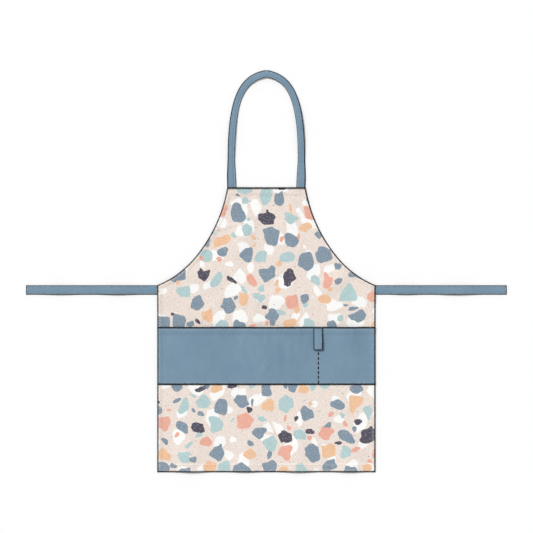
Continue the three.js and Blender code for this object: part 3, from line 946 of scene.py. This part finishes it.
def makePocket():
    # a grid of points, closer at the edges, the hem, the foot and the divider
    half = body["width"] / 2
    edges = edgeLines(cloth["panelEdge"])
    mouthEdges = edgeLines(cloth["mouthEdge"])
    sides = half - np.concatenate([edges, pocket["sideLines"]])
    fieldEdge = half - pocket["fieldInset"]
    field = np.linspace(-fieldEdge, fieldEdge, pocket["columns"])
    field = field[np.abs(field - pocket["divider"]) > 2 * seamGroove["near"]]
    x = np.sort(np.concatenate([-sides, field, seamLines(pocket["divider"]), sides]))
    footEnd = pocket["turnedSlope"][1]
    foot = np.array([*edges, *pocket["footLines"], *seamLines(pocket["turnedSeam"]), footEnd])
    hemLines = [*seamLines(pocket["hemSeam"]), pocket["hem"], pocket["hemSlope"][1]]
    mouth = np.array([*mouthEdges, *pocket["mouthLines"], *hemLines])
    rows = spaced(pocket["bottom"] + foot[-1], pocket["top"] - mouth[-1], pocket["rowStep"])[1:-1]
    y = np.concatenate([pocket["bottom"] + foot, rows, pocket["top"] - mouth[::-1]])
    x, y = np.meshgrid(x, y)
    under, upper = pocketSurface(x, y)
    inset = np.minimum(half - np.abs(x), np.minimum(y - pocket["bottom"], pocket["top"] - y))
    clear = inset - cloth["panelEdge"]
    return clothWall("pocket_cloth", upper, under, np.stack([x, y], -1), clear, [blueFace])


bodyCloth = makeBody()
pocketCloth = makePocket()
print("panels made:", len(bodyCloth.data.vertices), len(pocketCloth.data.vertices))


# Bands: neck strap, ties and loop share one section, flat with pressed edges and a row of stitches along each

bandSection = {
    "seam": 6.0, "puff": 0.3, "puffReach": 4, "ripple": 0.13, "rippleReach": 3, "pace": 9.0,
    "drift": (1.4, 31),  # a slow wave in the ripple's pace: swing, length
    "step": 3.0, "between": 5,  # grid steps along a band, and lines between its seams
}


def bandFaces(thick, inset, way, reach):
    # how far the back is pressed up and the front stands: fuller between the seams, with a valley along each
    # seam on both faces and a faint ripple there
    fromSeam = inset - bandSection["seam"]
    puff = bandSection["puff"] * ease(fromSeam, 0, bandSection["puffReach"])
    swing, length = bandSection["drift"]
    wave = np.sin(2 * np.pi * way / bandSection["pace"] + swing * np.sin(way / length))
    ripple = bandSection["ripple"] * wave * bell(fromSeam, bandSection["rippleReach"])
    sewn = bell(fromSeam, seamGroove["wide"])
    edge = pressed(inset, reach)
    front = thick + puff + ripple - seamGroove["front"] * sewn - edge
    return seamGroove["back"] * sewn + edge, front


def bandAcross(half, firstReach, lastReach):
    # grid lines across a band, from edge to edge
    seam = seamLines(bandSection["seam"])
    first = np.array([*edgeLines(firstReach), *seam])
    last = np.array([*edgeLines(lastReach), *seam])
    between = np.linspace(seam[-1] - half, half - seam[-1], bandSection["between"] + 2)[1:-1]
    return np.concatenate([first - half, between, (half - last)[::-1]])


# waves of the left and the right tie: distance from the apron's side, reach, height
tieWaves = {-1: [(118, 72, 4), (292, 64, 3)], 1: [(92, 60, 3), (246, 82, 4.5)]}
tieTilt = {"height": 0.35, "pace": 47, "drift": 29, "start": (10, 60)}


def tieSurface(side, out, across):
    # a straight band: waves are squared cosines along it, and one edge or the other tilts up as a slow sine
    half = ties["width"] / 2
    lift = sum(height * hump(out - start, 0, reach) for start, reach, height in tieWaves[side])
    swing = np.sin(out / tieTilt["pace"] + side) * (1 + np.sin(out / tieTilt["drift"]))
    swing = tieTilt["height"] * swing * ease(out, *tieTilt["start"])
    low = lift + np.maximum(swing * across / half, 0)
    back, front = bandFaces(cloth["tape"], half - np.abs(across), out, cloth["bandEdge"])
    x = side * (body["width"] / 2 + out)
    y = ties["middle"] + across
    return bothFaces(x, y, low + back, low + front)


def makeTie(name, side):
    # a grid along and across the band, closer at its edges and tip; the left one runs the other way, so
    # that its front is up too
    half = ties["width"] / 2
    hemmed = np.array([*edgeLines(cloth["bandEdge"]), *seamLines(bandSection["seam"])])
    even = spaced(-ties["tail"], ties["length"] - ties["tipClear"], bandSection["step"])
    ways = np.concatenate([even, ties["length"] - hemmed[::-1]])
    if side < 0:
        ways = ways[::-1]
    out, across = np.meshgrid(ways, bandAcross(half, cloth["bandEdge"], cloth["bandEdge"]))
    under, upper = tieSurface(side, out, across)
    clear = np.minimum(half - np.abs(across), ties["length"] - out) - cloth["bandEdge"]
    return clothWall(name, upper, under, np.stack([out, across], -1), clear, [blueFace])


arch = {"footOut": 9, "footUp": 243, "crownOut": 85, "crownDown": 14.5}  # handles of the strap's middle line
strapWaves = [(0.21, 0.13, 4), (0.76, 0.15, 5)]  # share of the strap's length, reach, height
crownBank = {"reach": 0.16, "height": 4.5}


def strapMiddle(count=400):
    # two mirrored cubic curves from the feet to the crown, where they meet in a blunt point, with a straight
    # tail under the hem at each end
    share = np.linspace(0, 1, count)[:, None]
    rest = 1 - share
    foot = np.array([-strapFootX, body["length"]])
    crown = np.array([0, body["length"] + strap["height"] - strap["width"] / 2])
    footHandle = foot + np.array([-arch["footOut"], arch["footUp"]])
    crownHandle = crown - np.array([arch["crownOut"], arch["crownDown"]])
    lower = rest**3 * foot + 3 * share * rest**2 * footHandle
    rise = lower + 3 * share**2 * rest * crownHandle + share**3 * crown
    tail = foot - np.array([0, strap["tail"]])
    leftHalf = np.concatenate([[tail], rise])
    rightHalf = leftHalf[::-1][1:] * np.array([-1, 1])
    return np.concatenate([leftHalf, rightHalf])


strapLine = strapMiddle()
strapWalk = walk(strapLine)
strapLength = strapWalk[-1]


def strapSurface(way, share):
    # a band carried along the arch: share runs from -1 at the outer edge to 1 at the inner edge, which stands
    # up a little at the crown
    spot, heading = carriedAlong(strapLine, strapWalk, way, strap["ahead"])
    inward = np.stack([heading[..., 1], -heading[..., 0]], -1)
    fromFoot = np.minimum(way, strapLength - way) - strap["tail"]
    flare = hump(fromFoot, strap["tail"], strap["footFlare"])
    half = (strap["width"] + (strap["footWidth"] - strap["width"]) * flare) / 2
    part = way / strapLength
    lift = sum(height * hump(part - place, 0, reach) for place, reach, height in strapWaves)
    low = lift + crownBank["height"] * hump(part - 0.5, 0, crownBank["reach"]) * (1 + share) / 2
    reach = np.where(share < 0, strap["outerEdge"], strap["innerEdge"])
    back, front = bandFaces(cloth["tape"], half * (1 - np.abs(share)), way, reach)
    place = spot + inward * (share * half)[..., None]
    return bothFaces(place[..., 0], place[..., 1], low + back, low + front)


def makeStrap():
    # a grid along the arch, and across it in shares of half the strap's width
    half = strap["width"] / 2
    end = cloth["roll"]
    across = bandAcross(half, strap["outerEdge"], strap["innerEdge"])
    share, way = np.meshgrid(across / half, spaced(end, strapLength - end, bandSection["step"]))
    under, upper = strapSurface(way, share)
    flat = np.stack([way, share * half], -1)
    clear = half * (1 - np.abs(share)) - np.where(share < 0, strap["outerEdge"], strap["innerEdge"])
    return clothWall("neck_tape", upper, under, flat, clear, [blueFace])


loop = {
    "width": loopHigh[0] - loopLow[0], "drop": 68.7, "thick": 1.6, "gape": 6,
    "edge": 3.2,  # how far in its edge threads reach
    "step": 1.5, "ahead": 0.8,  # grid steps along it, and how far on both sides its heading is taken from
}


def loopSide(count=60):
    # the loop seen from the side, in y and z: along the pocket's hem, down to its field as a cubic S, round
    # the fold in half a circle, and back to the hem
    half = loop["thick"] / 2
    onField = 2 * cloth["layer"] + 2 * cloth["seamGap"] + half
    onHem = onField + cloth["layer"]
    doubled = onHem + loop["thick"] + cloth["seamGap"]
    radius = (loop["gape"] + loop["thick"]) / 2
    foldY = pocket["top"] - loop["drop"] + half + radius
    hemY = pocket["top"] - pocket["hem"] - body["hemStep"]
    bend = (hemY - foldY) / 2
    share = np.linspace(0, 1, count)
    eased = ease(share, 0, 1)
    turn = -np.pi / 2 - share * np.pi
    under = np.stack([hemY + (foldY - hemY) * share, onHem + (onField - onHem) * eased], -1)
    fold = np.stack([foldY + radius * np.cos(turn), onField + radius + radius * np.sin(turn)], -1)
    upperZ = onField + 2 * radius
    upper = np.stack([foldY + (hemY + bend - foldY) * share, upperZ + (doubled - upperZ) * eased], -1)
    mouth = pocket["top"] - cloth["roll"]
    return np.concatenate([[[mouth, onHem]], under, fold[1:-1], upper, [[mouth, doubled]]])


loopLine = loopSide()
loopWalk = walk(loopLine)
loopLength = loopWalk[-1]


def loopSurface(way, across):
    # a band carried along the side view; its outer face is on the left of the way
    spot, heading = carriedAlong(loopLine, loopWalk, way, loop["ahead"])
    outward = np.stack([-heading[..., 1], heading[..., 0]], -1)
    back, front = bandFaces(loop["thick"], loop["width"] / 2 - np.abs(across), way, loop["edge"])
    outer = spot + outward * (front - loop["thick"] / 2)[..., None]
    inner = spot + outward * (back - loop["thick"] / 2)[..., None]
    x = (pocket["divider"] + across)[..., None]
    return np.concatenate([x, inner], -1), np.concatenate([x, outer], -1)


def makeLoop():
    # a grid along the side view and across the band
    half = loop["width"] / 2
    lines = bandAcross(half, loop["edge"], loop["edge"])
    across, way = np.meshgrid(lines, spaced(0, loopLength, loop["step"]))
    under, upper = loopSurface(way, across)
    clear = half - np.abs(across) - loop["edge"]
    return clothWall("loop_tape", upper, under, np.stack([across, way], -1), clear, [blueFace])


neckTape = makeStrap()
tieTapes = {-1: makeTie("tie_tape_left", -1), 1: makeTie("tie_tape_right", 1)}
loopTape = makeLoop()
print("bands made, strap", round(strapLength), "mm, loop", round(loopLength), "mm")


# Stitching: fine rows in the cloth's own tone hold the hems, dark dashes sew the divider, and close dark
# threads wrap every edge

hemStitch = {"pitch": 3.2, "length": 2.7, "wide": 0.62, "tall": 0.5, "rise": 0.34, "sink": 0.12}
foldStitch = {"pitch": 2.4, "length": 2.3, "wide": 2.6, "tall": 0.8, "rise": 0.4, "sink": 0.12}
dividerStitch = {"pitch": 13.6, "length": 9.4, "wide": 4.0, "tall": 1.5, "rise": 0.85, "sink": 0.3}
dividerBack = {**dividerStitch, "tall": 0.5, "rise": 0.22, "sink": 0.12}
dividerPlace = {"aside": 1.2, "overFoot": 1, "underMouth": 4}  # right of the divider's line, and its two ends
rowStep = 1.5  # between the points of a row
rowClear = 5.0  # where a pocket row stops short of the pocket's sides
tieEnds = (6.2, 7.8)  # rows that hold the ties, from the body's edge
footEnds = (8.6, 10.4)  # and the strap's feet
bandStart = 1.0  # where the rows along the ties and the strap start, from the body's edge
loopClear = 4.0  # where the rows along the loop stop, from its fold and from its end
loopCross = 15.0  # the row across it, from its end
foldRow = 3.0  # the dark row across it, up from the middle of its fold


def throughCloth(surface, *place):
    # one row as it shows on the front and on the back
    under, upper = surface(*place)
    return [(upper, 1), (under, -1)]


def bodyRows(side, end):
    # one row round the panel, side in from its sides and armholes and end in from its top and bottom
    y = spaced(end, body["length"] - end, rowStep)
    rows = []
    for sign in (-1, 1):
        rows += throughCloth(bodySurface, sign * halfWidth(y, side), y)
    for height in (end, body["length"] - end):
        reach = float(halfWidth(height, side))
        x = spaced(-reach, reach, rowStep)
        rows += throughCloth(bodySurface, x, np.full_like(x, height))
    return rows


def tapeEndRows():
    # short rows that hold the ties and the strap's feet under the hems
    rows = []
    halfTie = ties["width"] / 2 - cloth["bandEdge"]
    halfFoot = strap["footWidth"] / 2 - cloth["bandEdge"]
    tieY = spaced(ties["middle"] - halfTie, ties["middle"] + halfTie, rowStep)
    for sign in (-1, 1):
        footX = spaced(sign * strapFootX - halfFoot, sign * strapFootX + halfFoot, rowStep)
        for inset in tieEnds:
            rows += throughCloth(bodySurface, sign * halfWidth(tieY, inset), tieY)
        for inset in footEnds:
            rows += throughCloth(bodySurface, footX, np.full_like(footX, body["length"] - inset))
    return rows


def pocketRows():
    # the mouth's hem, and the row above the foot that also shows on the body's back
    edge = body["width"] / 2 - rowClear
    x = spaced(-edge, edge, rowStep)
    hemY = np.full_like(x, pocket["top"] - pocket["hemSeam"])
    footY = np.full_like(x, pocket["bottom"] + pocket["turnedSeam"])
    return [(pocketSurface(x, hemY)[1], 1), (pocketSurface(x, footY)[1], 1), (bodySurface(x, footY)[0], -1)]


def dividerRow(surface, face, late):
    # dashes from just below the mouth to the pocket's foot, on face 1, the front, or 0, the back, where
    # they come half a pitch late
    foot = pocket["bottom"] + dividerPlace["overFoot"] + late
    head = pocket["top"] - dividerPlace["underMouth"] - late
    y = spaced(foot, head, rowStep)[::-1]
    x = np.full_like(y, pocket["divider"] + dividerPlace["aside"])
    return [(surface(x, y)[face], 2 * face - 1)]


def tieRows(side):
    # one row across the tip, and one along each edge
    half = ties["width"] / 2 - bandSection["seam"]
    end = ties["length"] - bandSection["seam"]
    out = spaced(bandStart, end, rowStep)
    across = spaced(-half, half, rowStep)
    rows = throughCloth(tieSurface, side, np.full_like(across, end), across)
    for sign in (-1, 1):
        rows += throughCloth(tieSurface, side, out, np.full_like(out, sign * half))
    return rows


def strapRows():
    # one row along each edge, from foot to foot
    start = strap["tail"] + bandStart
    way = spaced(start, strapLength - start, rowStep)
    share = 1 - bandSection["seam"] / (strap["width"] / 2)
    rows = []
    for sign in (-1, 1):
        rows += throughCloth(strapSurface, way, np.full_like(way, sign * share))
    return rows


def loopAcross(way, reach):
    # one row across the loop's outer face
    across = spaced(-reach, reach, rowStep)
    return [(loopSurface(np.full_like(across, way), across)[1], 1)]


def loopRows():
    # one row along each edge of the upper half, and one across it near its end
    half = loop["width"] / 2 - bandSection["seam"]
    way = spaced(loopLength / 2 + loopClear, loopLength - loopClear, rowStep)
    rows = [(loopSurface(way, np.full_like(way, sign * half))[1], 1) for sign in (-1, 1)]
    return rows + loopAcross(loopLength - loopCross, half)


def foldRows():
    # the dark row across the loop just above its fold
    return loopAcross(loopLength / 2 + foldRow, loop["width"] / 2 - loop["edge"])


def bodyEdges():
    # the sides below and above the pocket, the armholes, the bottom and the bib's top
    reach = cloth["panelEdge"]
    half = body["width"] / 2
    bib = body["bibWidth"] / 2

    def top(along, inset):
        return bodySurface(along, body["length"] - inset)

    bundles = [edgeThreads(bodySurface, -half, half, reach), edgeThreads(top, -bib, bib, cloth["bibEdge"])]
    for sign in (-1, 1):
        def side(along, inset):
            return bodySurface(sign * (half - inset), along)

        def arm(along, inset):
            x, y = armPlace(along, inset)
            return bodySurface(sign * x, y)

        bundles.append(edgeThreads(side, 0, pocket["bottom"], reach))
        bundles.append(edgeThreads(side, pocket["top"], body["shoulder"], reach))
        bundles.append(edgeThreads(arm, 0, armLength, reach))
    return bundles


def pocketEdges():
    # the mouth on both sides of the loop and over its ends, the foot, which is sewn down on the body's front,
    # and the sides, where the threads hold pocket and body together
    reach = cloth["panelEdge"]
    mouthReach = cloth["mouthEdge"]
    half = body["width"] / 2
    loopLeft = pocket["divider"] - loop["width"] / 2
    loopRight = pocket["divider"] + loop["width"] / 2

    def mouth(along, inset):
        return pocketSurface(along, pocket["top"] - inset)

    def mouthAtLoop(along, inset):
        way = loopLength + cloth["roll"] - inset
        return mouth(along, inset)[0], loopSurface(way, along - pocket["divider"])[1]

    def foot(along, inset):
        onBody = bodySurface(along, pocket["bottom"] - overcast["footReach"] * inset)[1]
        return onBody, pocketSurface(along, pocket["bottom"] + inset)[1]

    bundles = [
        edgeThreads(mouth, -half, loopLeft, mouthReach), edgeThreads(mouth, loopRight, half, mouthReach),
        edgeThreads(mouthAtLoop, loopLeft, loopRight, mouthReach),
        edgeThreads(foot, -half, half, reach, backFace=1),
    ]
    for sign in (-1, 1):
        def side(along, inset):
            x = sign * (half - inset)
            return bodySurface(x, along)[0], pocketSurface(x, along)[1]

        bundles.append(edgeThreads(side, pocket["bottom"], pocket["top"], reach))
    return bundles


def tieEdges(side):
    # the tip and both long edges
    reach = cloth["bandEdge"]
    half = ties["width"] / 2

    def tip(along, inset):
        return tieSurface(side, ties["length"] - inset, along)

    bundles = [edgeThreads(tip, -half, half, reach)]
    for sign in (-1, 1):
        def edge(along, inset):
            return tieSurface(side, along, sign * (half - inset))

        bundles.append(edgeThreads(edge, 0, ties["length"], reach))
    return bundles


def strapEdges():
    # the outer and the inner edge, from foot to foot
    bundles = []
    for sign, reach in ((-1, strap["outerEdge"]), (1, strap["innerEdge"])):
        def edge(along, inset):
            return strapSurface(along, sign * (1 - inset / (strap["width"] / 2)))

        bundles.append(edgeThreads(edge, strap["tail"], strapLength - strap["tail"], reach))
    return bundles


def loopEdges():
    # from the fold to the ends
    bundles = []
    for sign in (-1, 1):
        def edge(along, inset):
            return loopSurface(along, sign * (loop["width"] / 2 - inset))

        bundles.append(edgeThreads(edge, loopLength / 2, loopLength - cloth["mouthEdge"] / 2, loop["edge"]))
    return bundles


hemRows = bodyRows(body["sideSeam"], body["endSeam"])
bodySewing = [
    stitches("body_stitching", hemRows + tapeEndRows(), hemStitch, creamThread),
    threadMesh("body_edge_stitching", bodyEdges(), overcast, darkThread),
]
backLate = dividerStitch["pitch"] / 2
pocketSewing = [
    stitches("pocket_stitching", pocketRows(), hemStitch, blueThread),
    threadMesh("pocket_edge_stitching", pocketEdges(), overcast, darkThread),
    stitches("divider_stitching", dividerRow(pocketSurface, 1, 0), dividerStitch, darkThread),
    stitches("divider_back_stitching", dividerRow(bodySurface, 0, backLate), dividerBack, darkThread),
]
strapSewing = [
    stitches("neck_stitching", strapRows(), hemStitch, blueThread),
    threadMesh("neck_edge_stitching", strapEdges(), overcast, darkThread),
]
loopSewing = [
    stitches("loop_stitching", loopRows(), hemStitch, blueThread),
    stitches("loop_fold_stitching", foldRows(), foldStitch, darkThread),
    threadMesh("loop_edge_stitching", loopEdges(), overcast, darkThread),
]
tieSewing = {
    side: [
        stitches("tie_stitching_" + name, tieRows(side), hemStitch, blueThread),
        threadMesh("tie_edge_stitching_" + name, tieEdges(side), overcast, darkThread),
    ]
    for side, name in ((-1, "left"), (1, "right"))
}
print("stitching made")


# What stands for which solid, and what each cloth was cut to


bodyCut = (body["width"], body["length"])
pocketCut = (body["width"], pocket["top"] - pocket["bottom"])
loopCut = (loop["width"], loopLength)
strapCut = (strap["width"], strapLength)
tieCut = (ties["width"], ties["length"] + ties["tail"])
dressing = [
    # cloth, solid it stands for, slot, cut width and length, how it is held, what it rests on, its sewing
    (bodyCloth, "apron_body", "printed_cotton", bodyCut, "laid", [], bodySewing),
    (pocketCloth, "front_pocket", "blue_cotton", pocketCut, "laid", ["body_cloth"], pocketSewing),
    (loopTape, "towel_loop", "blue_cotton", loopCut, "folded", ["pocket_cloth"], loopSewing),
    (neckTape, "neck_strap", "blue_cotton", strapCut, "laid", [], strapSewing),
    (tieTapes[-1], "tie_left", "blue_cotton", tieCut, "laid", [], tieSewing[-1]),
    (tieTapes[1], "tie_right", "blue_cotton", tieCut, "laid", [], tieSewing[1]),
]
for piece, solid, slotName, cut, held, restsOn, sewing in dressing:
    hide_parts(solid)
    for part in [piece, *sewing]:
        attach(part, "root")
print("pieces dressed:", len(dressing))


# Table, light and camera

table = {"size": 14.0, "drop": 0.0006, "tone": (253, 253, 253), "rough": 0.9, "specular": 0.1}


def makeTable():
    # one level square, a little lower than the apron
    half = table["size"] / 2
    corners = np.array([[-half, -half], [half, -half], [half, half], [-half, half]])
    points = np.column_stack([corners, np.full(4, -table["drop"])])
    mesh = bpy.data.meshes.new("table_top")
    mesh.from_pydata(points.tolist(), [], [(0, 1, 2, 3)])
    material, tree, shader = startMaterial("table_white")
    finish = {"Roughness": table["rough"], "Specular IOR Level": table["specular"]}
    feed(tree, shader, {"Base Color": paint(*table["tone"]), **finish})
    mesh.materials.append(material)
    addObject("table_top", mesh)


studio = {
    "sunTurn": 40, "sunHigh": 50, "sunSoft": 18, "sunPower": 2.3,  # degrees, and watts per square metre
    "skySpan": (0.0, 0.9), "skyTone": (0.72, 0.36),  # from low to high, as the sine of the height
}


def makeLight():
    # a soft sun from the upper left, and a white room that is brighter low down than overhead
    lamp = bpy.data.lights.new("window", "SUN")
    lamp.energy = studio["sunPower"]
    lamp.angle = math.radians(studio["sunSoft"])
    sun = addObject("window", lamp)
    sun.rotation_euler = (math.radians(90 - studio["sunHigh"]), 0, math.radians(180 + studio["sunTurn"]))
    world = bpy.data.worlds.new("room")
    bpy.context.scene.world = world
    world.use_nodes = True
    tree = world.node_tree
    place = node(tree, "ShaderNodeTexCoord").outputs["Generated"]
    height = node(tree, "ShaderNodeSeparateXYZ", {0: place}).outputs[2]
    tone = remap(tree, height, *studio["skySpan"], *studio["skyTone"])
    feed(tree, tree.nodes["Background"], {"Color": tone})


lens = {
    "focal": 100.0, "sensor": 36.0,  # millimetres
    "frameWide": 1.5894, "middle": (0.0004, 0.0136), "farthest": 50,  # metres
}


def makeCamera():
    # straight down, as far away as makes the frame frameWide metres across on the table
    data = bpy.data.cameras.new("camera")
    data.lens = lens["focal"]
    data.sensor_width = lens["sensor"]
    data.clip_end = lens["farthest"]
    camera = addObject("camera", data)
    camera.location = (*lens["middle"], lens["frameWide"] * lens["focal"] / lens["sensor"])
    bpy.context.scene.camera = camera


makeTable()
makeLight()
makeCamera()
bpy.context.scene.view_settings.view_transform = "Standard"
print("stage set")
